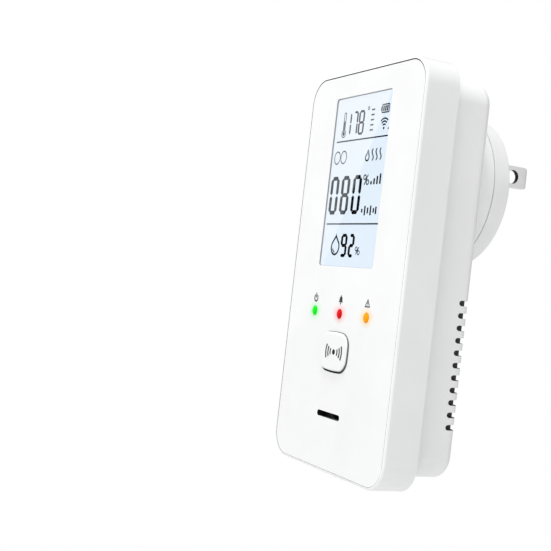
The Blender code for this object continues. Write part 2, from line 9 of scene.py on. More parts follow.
import bmesh
import bpy
from mathutils import Matrix, Vector


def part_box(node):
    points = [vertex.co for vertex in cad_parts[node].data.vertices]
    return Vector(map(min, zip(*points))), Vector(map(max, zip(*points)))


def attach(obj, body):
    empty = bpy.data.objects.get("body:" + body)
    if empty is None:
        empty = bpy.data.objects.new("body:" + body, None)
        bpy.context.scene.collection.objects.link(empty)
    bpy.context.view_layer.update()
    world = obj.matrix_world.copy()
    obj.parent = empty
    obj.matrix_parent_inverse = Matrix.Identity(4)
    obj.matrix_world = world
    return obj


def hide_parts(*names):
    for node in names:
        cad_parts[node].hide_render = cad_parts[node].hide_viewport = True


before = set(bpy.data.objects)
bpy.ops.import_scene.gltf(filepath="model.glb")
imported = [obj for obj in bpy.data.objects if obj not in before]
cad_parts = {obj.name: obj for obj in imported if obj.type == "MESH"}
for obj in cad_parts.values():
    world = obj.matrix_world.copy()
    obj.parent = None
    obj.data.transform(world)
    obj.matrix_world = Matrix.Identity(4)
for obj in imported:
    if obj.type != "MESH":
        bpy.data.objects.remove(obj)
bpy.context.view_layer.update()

MM = 0.001

# Places taken from the frame
FRONT_LOW, FRONT_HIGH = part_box("front_cover")
_, REAR_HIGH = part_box("rear_cover")
CAP_LOW, CAP_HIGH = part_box("plug_cap")
WINDOW_LOW, WINDOW_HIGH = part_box("lcd_window")
BUTTON_LOW, BUTTON_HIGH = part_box("test_button")
FACE_Y = FRONT_LOW.y
STEP_Y = FRONT_HIGH.y
CASE_WIDTH = FRONT_HIGH.x - FRONT_LOW.x
CASE_HEIGHT = FRONT_HIGH.z - FRONT_LOW.z
CASE_Z = (FRONT_HIGH.z + FRONT_LOW.z) / 2
WINDOW_Z = (WINDOW_HIGH.z + WINDOW_LOW.z) / 2
LED_NAMES = ("power", "alarm", "fault")
LED_CENTRES = [sum(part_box("light_pipe_" + name), Vector()) / 2 for name in LED_NAMES]

# Case
CASE_CORNER = 7.6 * MM
FACE_EDGE = 0.7 * MM                # rounding between the face and its sides
WALL = 2.0 * MM
NEST_PLAY = 0.15 * MM               # between a piece and the one it nests in
FLANGE_THICK = 1.3 * MM             # rear cover's flange inside the front cover
REAR_INSET = 3.5 * MM               # rear cover's side wall, in from the front cover's
REAR_ROUND = 2.5 * MM
REAR_CORNER = 6.4 * MM
BACK_Y = -12.8 * MM                 # flat back of the rear cover
SCREW_RECESS = 1.8 * MM             # floor of a screw's hole, in front of the head's outer face
SCREW_PLAY = 0.3 * MM
GROOVE_INSET = 0.75 * MM            # line between the face panel and its rounded rim
GROOVE_DEPTH = 0.8 * MM
GROOVE_SIDE = 0.16 * MM             # width at the sides, before the panel's shift
GROOVE_END = 0.20 * MM              # width at the ends, before the panel's shift
PANEL_RIGHT = 0.08 * MM             # the panel lies off centre in its rim
PANEL_DOWN = 0.11 * MM
LEAST_CORNER = 0.1 * MM             # smallest corner of an inset outline
EDGE_ROUND = 0.12 * MM              # softening of the rear cover's and the cap's edges
SHARP_ANGLE = 40                    # edges that turn by more than these degrees are shaded sharp
CORNER_STEPS = 20
QUARTER_TURN = [math.radians(angle) for angle in range(0, 91, 10)]
ROUND_SIDES = 128
HOLE_SIDES = 40

# Vents in the rear cover, and sound slot in the front
VENT_COUNT = 11
VENT_PITCH = 3.26 * MM
VENT_TOP_Z = -32.0 * MM
VENT_HEIGHT = 1.4 * MM
VENT_FRONT = 3.8 * MM               # reach along the side wall, forward from the back
VENT_INNER_X = 24.4 * MM            # reach across the back, inner end of each slot
VENT_RUN_OUT = 4.0 * MM             # how far the wall slots' cutters run on behind the back
VENT_STEP = 0.06 * MM               # the back slots are taller by this, so no two cuts share a face
SLOT_Z = CASE_Z - 40.4 * MM
SLOT_WIDTH = 12.4 * MM
SLOT_HEIGHT = 1.6 * MM

# Plug
COLLAR_RADIUS = CAP_HIGH.x
COLLAR_END_Y = REAR_HIGH.y
CAP_FACE_RADIUS = 21.4 * MM
CAP_ROUND = 0.8 * MM
CAP_HOLLOW = 6.6 * MM               # depth of the hollow in the cap
CAP_GAP = 0.3 * MM                  # parting line between the collar and the cap
BLADE_SHOULDER_Y = -3.0 * MM        # where a blade's inner tab widens
BLADE_TAPER = 1.6 * MM
BLADE_CORNER = 0.18 * MM
BLADE_HOLE_Y = 11.6 * MM
BLADE_HOLE_RADIUS = 1.985 * MM
BLADE_EDGE = 0.1 * MM
BLADE_PLAY = 0.2 * MM               # blade slot wider and taller than the blade by this
BLADE_SLOT_DEPTH = 4.0 * MM
BLADE_SLOT_CORNER = 0.25 * MM

# Window, lamps and button
WINDOW_CORNER = 0.85 * MM
WINDOW_GAP = 0.05 * MM              # the window sits low and to the right in its opening
WINDOW_GAP_WIDE = 0.20 * MM
LAMP_RADIUS = 1.3 * MM
LAMP_PROUD = 0.5 * MM
LAMP_GAP = 0.12 * MM
LAMP_LIGHT = 0.55                   # emission strength
BUTTON_CORNER = 2.7 * MM
BUTTON_BOW = 0.5 * MM
BUTTON_EDGE = 0.5 * MM
BUTTON_LIP = 1.2 * MM               # reach of the hidden flange behind the face
BUTTON_FLANGE_THICK = 1.0 * MM
BUTTON_FLANGE_GAP = 0.3 * MM        # between the flange and the face's inner side
BUTTON_TRIM_RIGHT = 0.7 * MM        # how far the cap's own edges stand inside its box
BUTTON_TRIM_LOW = 0.3 * MM
BUTTON_GAP = 0.3 * MM
BUTTON_GAP_TOP = 0.12 * MM
BUTTON_GAP_LOW = 0.55 * MM
BUTTON_STEM_RADIUS = 2.2 * MM
BUTTON_SYMBOL_X = 0.35              # in millimetres

# Artwork; numbers without MM are millimetres from the middle of the case
INK_THICK = 0.03 * MM
SCREEN_RECESS = 0.3 * MM
RULE_TOP = 36.05                    # heights of the two lines across the display
RULE_LOW = 12.55
RULE_WIDTH = 0.38
LABEL_Z = -8.65                     # symbols above the lamps
SEGMENTS = {"0": "abcdef", "1": "bc", "2": "abged", "7": "abc", "8": "abcdefg", "9": "abcdfg"}

# A painted reflection: the pale glare painted on the display, whose edge crosses the two lines at these
# places
GLARE_TOP_X, GLARE_TOP_Z = 7.2 * MM, RULE_TOP * MM
GLARE_LOW_X, GLARE_LOW_Z = -6.1 * MM, RULE_LOW * MM
GLARE_BLUR = 0.5 * MM

# Colours
WHITE = (0.875, 0.878, 0.882)
# Painted shade: the case's inner faces are coloured dark, standing for the shade inside the case
INSIDE_SHADE = (0.10, 0.10, 0.105)
# colour of the reflection painted on the display
SCREEN_PAINTED_GLARE = (0.88, 0.935, 0.99)
SCREEN_CLEAR = (0.70, 0.83, 0.955)
SCREEN_LIGHT = 0.68                 # emission strength
FILM_ALPHA = 0.03
LAMPS = {"power": (0.0, 0.57, 0.0), "alarm": (0.52, 0.0, 0.0), "fault": (0.80, 0.25, 0.0)}
EDGES = {"power": (0.0, 0.45, 0.01), "alarm": (0.25, 0.0, 0.002), "fault": (0.30, 0.17, 0.0)}
# Painted glow of each lamp's light on the face around it
PAINTED_HALOS = {"power": (0.35, 0.95, 0.40), "alarm": (1.0, 0.40, 0.42), "fault": (1.0, 0.68, 0.25)}
PAINTED_HALO_WIDE = 4.2 * MM
PAINTED_HALO_TALL = 2.9 * MM
PAINTED_HALO_STRENGTH = 0.75

# Camera and light; azimuth 0 is straight ahead of the face
CAMERA_AZIMUTH = 63.75
CAMERA_ELEVATION = -0.583
CAMERA_ROLL = 6.528
CAMERA_DISTANCE = 334.6 * MM
CAMERA_AIM = Vector((-42.2 * MM, FACE_Y, CASE_Z - 3.53 * MM))
CAMERA_LENS = 70.5
SENSOR = 36.0
FLOOR_SIZE = 6.0
FLOOR_BELOW = 0.25                  # under the case's lower end
AMBIENT = 1.10
AMBIENT_SLOPE = (0.10, -0.71, -0.20)  # brighter from the right, from the front and from below
KEY_AZIMUTH = 18.0
KEY_HEIGHT = 80.0                   # degrees above level
KEY_DISTANCE = 1.0
KEY_SIZE = 0.25
KEY_WATTS = 5.5


# ---------------------------------------------------------------- meshes

def rectangle(width, height, radius, steps=CORNER_STEPS):
    """Outline (x, z) of a rounded rectangle about its own centre."""
    points = []
    for quarter, (sx, sz) in enumerate(((1, 1), (-1, 1), (-1, -1), (1, -1))):
        cx = sx * (width / 2 - radius)
        cz = sz * (height / 2 - radius)
        for step in range(steps + 1):
            angle = math.radians(90 * (quarter + step / steps))
            points.append((cx + radius * math.cos(angle), cz + radius * math.sin(angle)))
    return points


def pillow(width, height, radius, bow, steps=12, side_steps=8):
    """Outline of a rounded rectangle whose sides bulge by bow; width and height are its largest."""
    width -= 2 * bow
    height -= 2 * bow
    corners = rectangle(width, height, radius, steps)
    points = []
    for i, (px, pz) in enumerate(corners):
        points.append((px, pz))
        if i % (steps + 1) == steps:
            nx, nz = corners[(i + 1) % len(corners)]
            points += [(px + (nx - px) * t / side_steps, pz + (nz - pz) * t / side_steps)
                       for t in range(1, side_steps)]
    return [(px + bow * 2 * px / width * (1 - (2 * pz / height) ** 2),
             pz + bow * 2 * pz / height * (1 - (2 * px / width) ** 2)) for px, pz in points]


def circle(radius, sides):
    return [(radius * math.cos(2 * math.pi * i / sides), radius * math.sin(2 * math.pi * i / sides))
            for i in range(sides)]


def box_rings(width, height, profile, corner, x=0.0, z=0.0, steps=CORNER_STEPS):
    """Rings along Y of a rounded rectangle; profile holds (y, inset)."""
    rings = []
    for y, inset in profile:
        radius = max(corner - inset, LEAST_CORNER)
        outline = rectangle(width - 2 * inset, height - 2 * inset, radius, steps)
        rings.append([(x + px, y, z + pz) for px, pz in outline])
    return rings


def round_rings(profile, sides, x=0.0, z=0.0):
    """Rings along Y of a turned shape; profile holds (y, radius)."""
    return [[(x + px, y, z + pz) for px, pz in circle(radius, sides)] for y, radius in profile]


def arc(centre_y, centre_size, radius, start, end, steps):
    """Profile points (y, size) on an arc, in degrees from +Y towards growing size."""
    points = []
    for step in range(steps + 1):
        angle = math.radians(start + (end - start) * step / steps)
        points.append((centre_y + radius * math.cos(angle), centre_size + radius * math.sin(angle)))
    return points


def skin(shape, near, far):
    """Faces between two rings with the same number of points."""
    for i in range(len(near)):
        j = (i + 1) % len(near)
        shape.faces.new((near[i], near[j], far[j], far[i]))


def build(name, lofts, look):
    """One object from lofts, each a list of equal rings, capped unless it comes back to its first ring."""
    shape = bmesh.new()
    for rings in lofts:
        closed = rings[0] == rings[-1]
        rows = [[shape.verts.new(Vector(p)) for p in ring] for ring in rings[:-1 if closed else None]]
        if closed:
            rows.append(rows[0])
        for near, far in zip(rows, rows[1:]):
            skin(shape, near, far)
        if not closed:
            shape.faces.new(rows[0])
            shape.faces.new(rows[-1])
    bmesh.ops.recalc_face_normals(shape, faces=shape.faces)
    mesh = bpy.data.meshes.new(name)
    shape.to_mesh(mesh)
    shape.free()
    return placed(name, mesh, look)


def placed(name, mesh, look):
    """An object of this mesh and look, in the scene."""
    mesh.materials.append(look)
    thing = bpy.data.objects.new(name, mesh)
    bpy.context.scene.collection.objects.link(thing)
    return thing


def bake(thing):
    """Replace an object's mesh by what its modifiers make of it."""
    graph = bpy.context.evaluated_depsgraph_get()
    mesh = bpy.data.meshes.new_from_object(thing.evaluated_get(graph), depsgraph=graph)
    old = thing.data
    thing.modifiers.clear()
    thing.data = mesh
    bpy.data.meshes.remove(old)


def combine(thing, operation, lofts, look=None):
    """Cut lofts out of an object, or join them to it, for good; look is for the faces that this makes."""
    operand = build("operand", lofts, look or thing.data.materials[0])
    modifier = thing.modifiers.new(operation, "BOOLEAN")
    modifier.material_mode = "TRANSFER"
    modifier.operation = operation
    modifier.solver = "EXACT"
    modifier.object = operand
    bake(thing)
    bpy.data.objects.remove(operand, do_unlink=True)


def soften(thing, width, segments, angle=SHARP_ANGLE):
    """Round the edges sharper than angle, then shade the flats flat and the rounds smooth."""
    modifier = thing.modifiers.new("edges", "BEVEL")
    modifier.width = width
    modifier.segments = segments
    modifier.limit_method = "ANGLE"
    modifier.angle_limit = math.radians(angle)
    modifier.use_clamp_overlap = True
    bake(thing)
    smooth(thing)


def smooth(thing):
    """Shade the flats flat and the rounds smooth."""
    thing.data.shade_smooth()
    thing.data.set_sharp_from_angle(angle=math.radians(SHARP_ANGLE))
    modifier = thing.modifiers.new("normals", "WEIGHTED_NORMAL")
    modifier.keep_sharp = True
    bake(thing)


# ---------------------------------------------------------------- materials

def principled(name, colour, roughness, metallic=0.0, coat=0.0, specular=0.5):
    look = bpy.data.materials.new(name)
    look.use_nodes = True
    shader = look.node_tree.nodes["Principled BSDF"]
    shader.inputs["Base Color"].default_value = (*colour, 1.0)
    shader.inputs["Roughness"].default_value = roughness
    shader.inputs["Metallic"].default_value = metallic
    shader.inputs["Coat Weight"].default_value = coat
    shader.inputs["Coat Roughness"].default_value = 0.08
    shader.inputs["Specular IOR Level"].default_value = specular
    return look, shader


def add(look, kind, **values):
    node = look.node_tree.nodes.new(kind)
    for key, value in values.items():
        setattr(node, key, value)
    return node


def link(look, source, target):
    look.node_tree.links.new(source, target)


def noise(look, scale, detail, stretch=(1.0, 1.0, 1.0)):
    """Noise over the object's own coordinates, which are the shared frame in metres."""
    place = add(look, "ShaderNodeTexCoord")
    mapping = add(look, "ShaderNodeMapping")
    mapping.inputs["Scale"].default_value = stretch
    texture = add(look, "ShaderNodeTexNoise")
    texture.inputs["Scale"].default_value = scale
    texture.inputs["Detail"].default_value = detail
    link(look, place.outputs["Object"], mapping.inputs["Vector"])
    link(look, mapping.outputs["Vector"], texture.inputs["Vector"])
    return texture.outputs["Fac"]


def ranged(look, value, low, high, start=0.0, end=1.0):
    node = add(look, "ShaderNodeMapRange")
    node.inputs["From Min"].default_value = start
    node.inputs["From Max"].default_value = end
    node.inputs["To Min"].default_value = low
    node.inputs["To Max"].default_value = high
    link(look, value, node.inputs["Value"])
    return node.outputs["Result"]


def mixed(look, factor, first, second):
    """Mix of two colours; each is a colour or a socket, and factor is a socket."""
    node = add(look, "ShaderNodeMix", data_type="RGBA")
    link(look, factor, node.inputs["Factor"])
    for socket, colour in ((node.inputs[6], first), (node.inputs[7], second)):
        if isinstance(colour, tuple):
            socket.default_value = (*colour, 1.0)
        else:
            link(look, colour, socket)
    return node.outputs[2]


def bumped(look, shader, height, strength, distance):
    node = add(look, "ShaderNodeBump")
    node.inputs["Strength"].default_value = strength
    node.inputs["Distance"].default_value = distance
    link(look, height, node.inputs["Height"])
    link(look, node.outputs["Normal"], shader.inputs["Normal"])


def moulded(name, colour, roughness, grain=1.0, coat=0.0):
    """Moulded plastic: a fine spark-eroded grain, slow colour drift and uneven gloss."""
    look, shader = principled(name, colour, roughness, coat=coat)
    slow = noise(look, 55.0, 2.0)
    darker = tuple(0.97 * c for c in colour)
    drift = mixed(look, ranged(look, slow, 0.0, 1.0, 0.35, 0.65), darker, colour)
    link(look, drift, shader.inputs["Base Color"])
    cloud = noise(look, 130.0, 1.0)
    link(look, ranged(look, cloud, roughness - 0.02, roughness + 0.03, 0.3, 0.7), shader.inputs["Roughness"])
    bumped(look, shader, noise(look, 2600.0, 1.0), 0.05 * grain, 0.01 * MM)
    return look, shader


def metal(name, colour, roughness, metallic=1.0):
    """Drawn or stamped metal, with fine lines along Y and faint stains."""
    look, shader = principled(name, colour, roughness, metallic)
    lines = noise(look, 6000.0, 3.0, (1.0, 0.05, 1.0))
    link(look, ranged(look, lines, roughness - 0.08, roughness + 0.12), shader.inputs["Roughness"])
    dull = tuple(0.93 * c for c in colour)
    stain = ranged(look, noise(look, 420.0, 4.0), 0.0, 1.0, 0.4, 0.75)
    link(look, mixed(look, stain, colour, dull), shader.inputs["Base Color"])
    bumped(look, shader, lines, 0.12, 0.01 * MM)
    return look


def board(name, mask, copper):
    """A circuit board's solder mask, with fine tracks showing through it."""
    look, shader = principled(name, mask, 0.4, coat=0.3)
    place = add(look, "ShaderNodeTexCoord")
    tracks = add(look, "ShaderNodeTexBrick")
    tracks.inputs["Scale"].default_value = 520.0
    tracks.inputs["Mortar Size"].default_value = 0.06
    tracks.inputs["Color1"].default_value = (*mask, 1.0)
    tracks.inputs["Color2"].default_value = (*(0.8 * c for c in mask), 1.0)
    tracks.inputs["Mortar"].default_value = (*copper, 1.0)
    turn = add(look, "ShaderNodeMapping")
    turn.inputs["Rotation"].default_value = (math.radians(90), 0.0, 0.0)
    link(look, place.outputs["Object"], turn.inputs["Vector"])
    link(look, turn.outputs["Vector"], tracks.inputs["Vector"])
    link(look, tracks.outputs["Color"], shader.inputs["Base Color"])
    bumped(look, shader, tracks.outputs["Fac"], 0.2, 0.02 * MM)
    return look


def distance_to(look, centre):
    """Distance of the shaded point from a place in the shared frame."""
    place = add(look, "ShaderNodeTexCoord")
    node = add(look, "ShaderNodeVectorMath", operation="DISTANCE")
    node.inputs[1].default_value = centre
    link(look, place.outputs["Object"], node.inputs[0])
    return node.outputs["Value"]


def axis_value(look, axis):
    place = add(look, "ShaderNodeTexCoord")
    split = add(look, "ShaderNodeSeparateXYZ")
    link(look, place.outputs["Object"], split.inputs["Vector"])
    return split.outputs[axis]


def slot_shade_material():
    """Walls of the sound slot in painted shade: dark at the left end, and painted lighter to the right, where
    light reaches in.
    """
    look, shader = moulded("slot_wall_painted_shade", (0.02, 0.02, 0.02), 0.6)
    across = ranged(look, axis_value(look, "X"), 0.0, 1.0, -0.3 * SLOT_WIDTH, 0.5 * SLOT_WIDTH)
    link(look, mixed(look, across, (0.004, 0.004, 0.004), (0.35, 0.35, 0.35)), shader.inputs["Base Color"])
    return look


def button_material():
    """The button's white cap, with painted shade on its side wall, which begins behind the rounded edge."""
    look, shader = moulded("button_cap", WHITE, 0.30, 0.6, coat=0.15)
    colour = shader.inputs["Base Color"].links[0].from_socket
    # painted shade: the side wall behind the rounded edge is coloured dark grey
    skirt = ranged(look, axis_value(look, "Y"), 0.0, 1.0, BUTTON_LOW.y + 0.55 * BUTTON_EDGE,
                   BUTTON_LOW.y + 0.85 * BUTTON_EDGE)
    link(look, mixed(look, skirt, colour, (0.22, 0.22, 0.225)), shader.inputs["Base Color"])
    return look


def oval_distance(look, x, z, width_x, width_z):
    """A value that is 1 on an oval about (x, z) with these half widths, and grows outwards."""
    place = add(look, "ShaderNodeTexCoord")
    scaled = add(look, "ShaderNodeMapping")
    scaled.inputs["Location"].default_value = (-x / width_x, 0.0, -z / width_z)
    scaled.inputs["Scale"].default_value = (1 / width_x, 0.0, 1 / width_z)
    link(look, place.outputs["Object"], scaled.inputs["Vector"])
    length = add(look, "ShaderNodeVectorMath", operation="LENGTH")
    link(look, scaled.outputs["Vector"], length.inputs[0])
    return length.outputs["Value"]


def face_material():
    """The front cover's plastic, with a painted glow round each lamp, standing for the light that spreads in
    it.
    """
    look, shader = moulded("case_front", WHITE, 0.30, 0.6, coat=0.15)
    colour = shader.inputs["Base Color"].links[0].from_socket
    for name, centre in zip(LED_NAMES, LED_CENTRES):
        far = oval_distance(look, centre.x, centre.z, PAINTED_HALO_WIDE, PAINTED_HALO_TALL)
        near = ranged(look, far, PAINTED_HALO_STRENGTH, 0.0, 0.3, 1.0)
        colour = mixed(look, near, colour, PAINTED_HALOS[name])
    link(look, colour, shader.inputs["Base Color"])
    return look


def glare(look):
    """From 0 in the clear lower right of the display to 1 in its upper left, where a pale reflection is
    painted.

    The edge between them runs straight from the top of the display, right of its middle, down to the left.
    """
    place = add(look, "ShaderNodeTexCoord")
    across = add(look, "ShaderNodeVectorMath", operation="DOT_PRODUCT")
    run = Vector((GLARE_TOP_X - GLARE_LOW_X, GLARE_TOP_Z - GLARE_LOW_Z)).normalized()
    across.inputs[1].default_value = (-run.y, 0.0, run.x)
    link(look, place.outputs["Object"], across.inputs[0])
    edge = -run.y * GLARE_LOW_X + run.x * (CASE_Z + GLARE_LOW_Z)
    return ranged(look, across.outputs["Value"], 0.0, 1.0, edge - GLARE_BLUR, edge + GLARE_BLUR)


def screen_material():
    """The lit display, brighter than what falls on it: pale blue, and paler where the reflection is painted.
    """
    look, shader = principled("screen", (0.26, 0.29, 0.32), 0.12, coat=0.5)
    slow = ranged(look, noise(look, 60.0, 2.0), 0.94, 1.0, 0.35, 0.65)
    tone = mixed(look, glare(look), SCREEN_CLEAR, SCREEN_PAINTED_GLARE)
    down = ranged(look, axis_value(look, "Z"), 0.5, 0.0, WINDOW_LOW.z, WINDOW_HIGH.z)
    tone = mixed(look, down, tone, SCREEN_CLEAR)
    link(look, tone, shader.inputs["Emission Color"])
    shader.inputs["Emission Strength"].default_value = SCREEN_LIGHT
    link(look, mixed(look, slow, (0.22, 0.25, 0.30), (0.26, 0.29, 0.32)), shader.inputs["Base Color"])
    return look


def ink_material(name, dark, washed):
    """Printed or liquid-crystal ink; on the display it turns from dark to washed out under the painted
    reflection.
    """
    look, shader = principled(name, dark, 0.8, specular=0.0)
    link(look, mixed(look, glare(look), dark, washed), shader.inputs["Base Color"])
    return look


def lamp_material(name):
    look, shader = principled("lamp_" + name, LAMPS[name], 0.35, specular=0.1)
    centre = LED_CENTRES[LED_NAMES.index(name)]
    core = ranged(look, distance_to(look, Vector((centre.x, FACE_Y, centre.z))), 1.0, 0.0, 0.0, LAMP_RADIUS)
    link(look, mixed(look, core, EDGES[name], LAMPS[name]), shader.inputs["Emission Color"])
    shader.inputs["Emission Strength"].default_value = LAMP_LIGHT
    return look


def film_material():
    """Clear film over the display."""
    look, shader = principled("film", (0.02, 0.02, 0.02), 0.05)
    shader.inputs["Alpha"].default_value = FILM_ALPHA
    return look


# ---------------------------------------------------------------- the case

def piece(thing, body, replaced):
    """Say which body carries a piece, which CAD node it replaces, if any."""
    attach(thing, body)
    if replaced:
        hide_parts(replaced)
    return thing


def groove_rings():
    """A ring to cut between the face panel and its rim; its section is closed, so it needs no caps."""
    inset = 2 * GROOVE_INSET
    outer = rectangle(CASE_WIDTH - inset, CASE_HEIGHT - inset, CASE_CORNER - GROOVE_INSET)
    panel = rectangle(CASE_WIDTH - inset - 2 * GROOVE_SIDE, CASE_HEIGHT - inset - 2 * GROOVE_END,
                      CASE_CORNER - GROOVE_INSET - GROOVE_SIDE)
    panel = [(px + PANEL_RIGHT, pz - PANEL_DOWN) for px, pz in panel]
    front = FACE_Y - MM
    deep = FACE_Y + GROOVE_DEPTH
    section = [(outer, front), (outer, deep), (panel, deep), (panel, front), (outer, front)]
    return [[(px, y, CASE_Z + pz) for px, pz in outline] for outline, y in section]


def case_shell(name, profile, look, inside, cavity, corner=CASE_CORNER):
    """A case half: a solid made by the profile, with a cavity of its own look cut out of it."""
    shell = build(name, [box_rings(CASE_WIDTH, CASE_HEIGHT, profile, corner, z=CASE_Z)], look)
    combine(shell, "DIFFERENCE", [box_rings(CASE_WIDTH, CASE_HEIGHT, cavity, CASE_CORNER, z=CASE_Z)], inside)
    return shell


def button_outline(y, side, low, top):
    """The cap's outline at y, grown by these amounts at its sides, its lower end and its top."""
    left_x = BUTTON_LOW.x + BUTTON_LIP - side
    right_x = BUTTON_HIGH.x - BUTTON_LIP - BUTTON_TRIM_RIGHT + side
    low_z = BUTTON_LOW.z + BUTTON_LIP + BUTTON_TRIM_LOW - low
    top_z = BUTTON_HIGH.z - BUTTON_LIP + top
    outline = pillow(right_x - left_x, top_z - low_z, BUTTON_CORNER + side, BUTTON_BOW)
    return [((left_x + right_x) / 2 + px, y, (low_z + top_z) / 2 + pz) for px, pz in outline]


def front_cover():
    face = face_material()
    # painted shade on the front cover's inner faces
    inside, _ = moulded("case_inside_painted_shade", INSIDE_SHADE, 0.6)
    # Painted shade: the walls of the button's opening and of the groove round the face panel are coloured
    # near black
    gap, _ = moulded("case_gap_painted_shade", (0.035, 0.035, 0.038), 0.7)
    inner_y = FACE_Y + WALL
    edge = [(FACE_Y + FACE_EDGE - FACE_EDGE * math.sin(a), FACE_EDGE - FACE_EDGE * math.cos(a))
            for a in QUARTER_TURN]
    cover = case_shell("case_front", [(STEP_Y, 0.0)] + edge, face, inside,
                       [(inner_y, WALL), (STEP_Y + MM, WALL)])
    through = [(FACE_Y - WALL, 0.0), (inner_y + WALL / 2, 0.0)]
    # Painted shade: the walls of the window's opening are coloured mid grey, for the shadow in the recess
    window_edge_shade, _ = moulded("window_edge_painted_shade", (0.34, 0.345, 0.36), 0.6)
    left_x = WINDOW_LOW.x - WINDOW_GAP_WIDE
    right_x = WINDOW_HIGH.x + WINDOW_GAP
    low_z = WINDOW_LOW.z - WINDOW_GAP
    top_z = WINDOW_HIGH.z + WINDOW_GAP_WIDE
    combine(cover, "DIFFERENCE", [box_rings(right_x - left_x, top_z - low_z, through,
                                            WINDOW_CORNER + WINDOW_GAP, (left_x + right_x) / 2,
                                            (low_z + top_z) / 2, 8)], window_edge_shade)
    opening = [button_outline(y, BUTTON_GAP, BUTTON_GAP_LOW, BUTTON_GAP_TOP) for y, _ in through]
    combine(cover, "DIFFERENCE", [opening], gap)
    round_end = SLOT_HEIGHT / 2 - 0.001 * MM    # just under half, so that no two points fall together
    # the slot's walls carry painted shade, dark at the left and lighter to the right
    combine(cover, "DIFFERENCE", [box_rings(SLOT_WIDTH, SLOT_HEIGHT, through, round_end, z=SLOT_Z, steps=10)],
            slot_shade_material())
    lamp_holes = [round_rings([(y, LAMP_RADIUS + LAMP_GAP) for y, _ in through], HOLE_SIDES,
                              centre.x, centre.z) for centre in LED_CENTRES]
    combine(cover, "DIFFERENCE", lamp_holes)
    # the groove's walls carry painted shade
    combine(cover, "DIFFERENCE", [groove_rings()], gap)
    smooth(cover)
    return piece(cover, "case", "front_cover")


def stadium(length, width, steps=8):
    """Outline (u, v) of a slot from u = 0 to u = length, with round ends."""
    radius = width / 2
    points = []
    for centre, first in ((length - radius, -90), (radius, 90)):
        for step in range(steps + 1):
            angle = math.radians(first + 180 * step / steps)
            points.append((centre + radius * math.cos(angle), radius * math.sin(angle)))
    return points


def vent_lofts(side):
    """Cutters for the slots in one side wall, and for those that carry them on round the back's edge."""
    outer_x = CASE_WIDTH / 2
    start_y = BACK_Y - VENT_FRONT
    wall_slot = stadium(VENT_FRONT + VENT_RUN_OUT, VENT_HEIGHT)
    back_slot = stadium(outer_x - VENT_INNER_X, VENT_HEIGHT + VENT_STEP)
    wall_lofts = []
    back_lofts = []
    for i in range(VENT_COUNT):
        z = VENT_TOP_Z - i * VENT_PITCH
        wall_lofts.append([[(side * x, start_y + u, z + v) for u, v in wall_slot]
                           for x in (outer_x - REAR_INSET - WALL - MM, outer_x)])
        back_lofts.append([[(side * (VENT_INNER_X + u), y, z + v) for u, v in back_slot]
                           for y in (start_y + VENT_HEIGHT / 2, BACK_Y + MM)])
    return wall_lofts, back_lofts


def rear_cover():
    look, _ = moulded("case_rear", WHITE, 0.42)
    # painted shade on the inner faces of the cavity and of the collar's bore
    inside, _ = moulded("rear_inside_painted_shade", (0.05, 0.05, 0.052), 0.6)
    nest = WALL + NEST_PLAY
    inner = REAR_INSET + WALL
    rounding = [(BACK_Y - REAR_ROUND + REAR_ROUND * math.sin(a),
                 REAR_INSET + REAR_ROUND - REAR_ROUND * math.cos(a)) for a in QUARTER_TURN]
    flange_y = STEP_Y - FLANGE_THICK
    profile = [(flange_y, nest), (STEP_Y, nest), (STEP_Y, REAR_INSET)] + rounding
    cavity = [(flange_y - MM, inner), (BACK_Y - WALL, inner)]
    cover = case_shell("case_rear", profile, look, inside, cavity, REAR_CORNER + REAR_INSET)
    collar = [(BACK_Y - WALL / 2, COLLAR_RADIUS), (COLLAR_END_Y, COLLAR_RADIUS)]
    combine(cover, "UNION", [round_rings(collar, ROUND_SIDES)])
    bore = COLLAR_RADIUS - WALL
    combine(cover, "DIFFERENCE", [round_rings([(BACK_Y - WALL - MM, bore), (COLLAR_END_Y + MM, bore)],
                                              ROUND_SIDES)], inside)
    holes = []
    for number in range(1, 5):
        low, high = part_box("case_screw_%d" % number)
        middle = (low + high) / 2
        recess = high.y - SCREW_RECESS
        radius = (high.x - low.x) / 2 + SCREW_PLAY
        holes.append(round_rings([(recess, radius), (BACK_Y + MM, radius)], HOLE_SIDES, middle.x, middle.z))
    combine(cover, "DIFFERENCE", holes)
    # Painted shade: the vents' walls are coloured near black
    vent, _ = moulded("vent_wall_painted_shade", (0.06, 0.06, 0.062), 0.7)
    for side in (-1, 1):
        for lofts in vent_lofts(side):
            combine(cover, "DIFFERENCE", lofts, vent)
    soften(cover, EDGE_ROUND, 2, 50)
    return piece(cover, "case", "rear_cover")


def plug_cap():
    look, _ = moulded("plug_disc", WHITE, 0.42)
    skirt = COLLAR_RADIUS - WALL - NEST_PLAY
    inner = skirt - WALL
    start_y = COLLAR_END_Y + CAP_GAP
    profile = [(CAP_LOW.y + CAP_HOLLOW, inner), (CAP_LOW.y, inner), (CAP_LOW.y, skirt),
               (start_y, skirt), (start_y, COLLAR_RADIUS)]
    profile += arc(-CAP_ROUND, CAP_FACE_RADIUS - CAP_ROUND, CAP_ROUND, 80, 0, 10)
    cap = build("plug_disc", [round_rings(profile, ROUND_SIDES)], look)
    slots = []
    for name in ("line_blade", "neutral_blade"):
        low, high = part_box(name)
        middle = (low + high) / 2
        slots.append(box_rings(high.x - low.x + BLADE_PLAY, high.z - low.z + BLADE_PLAY,
                               [(-BLADE_SLOT_DEPTH, 0.0), (MM, 0.0)], BLADE_SLOT_CORNER,
                               middle.x, middle.z, 4))
    combine(cap, "DIFFERENCE", slots)
    soften(cap, EDGE_ROUND, 2)
    return piece(cap, "case", "plug_cap")


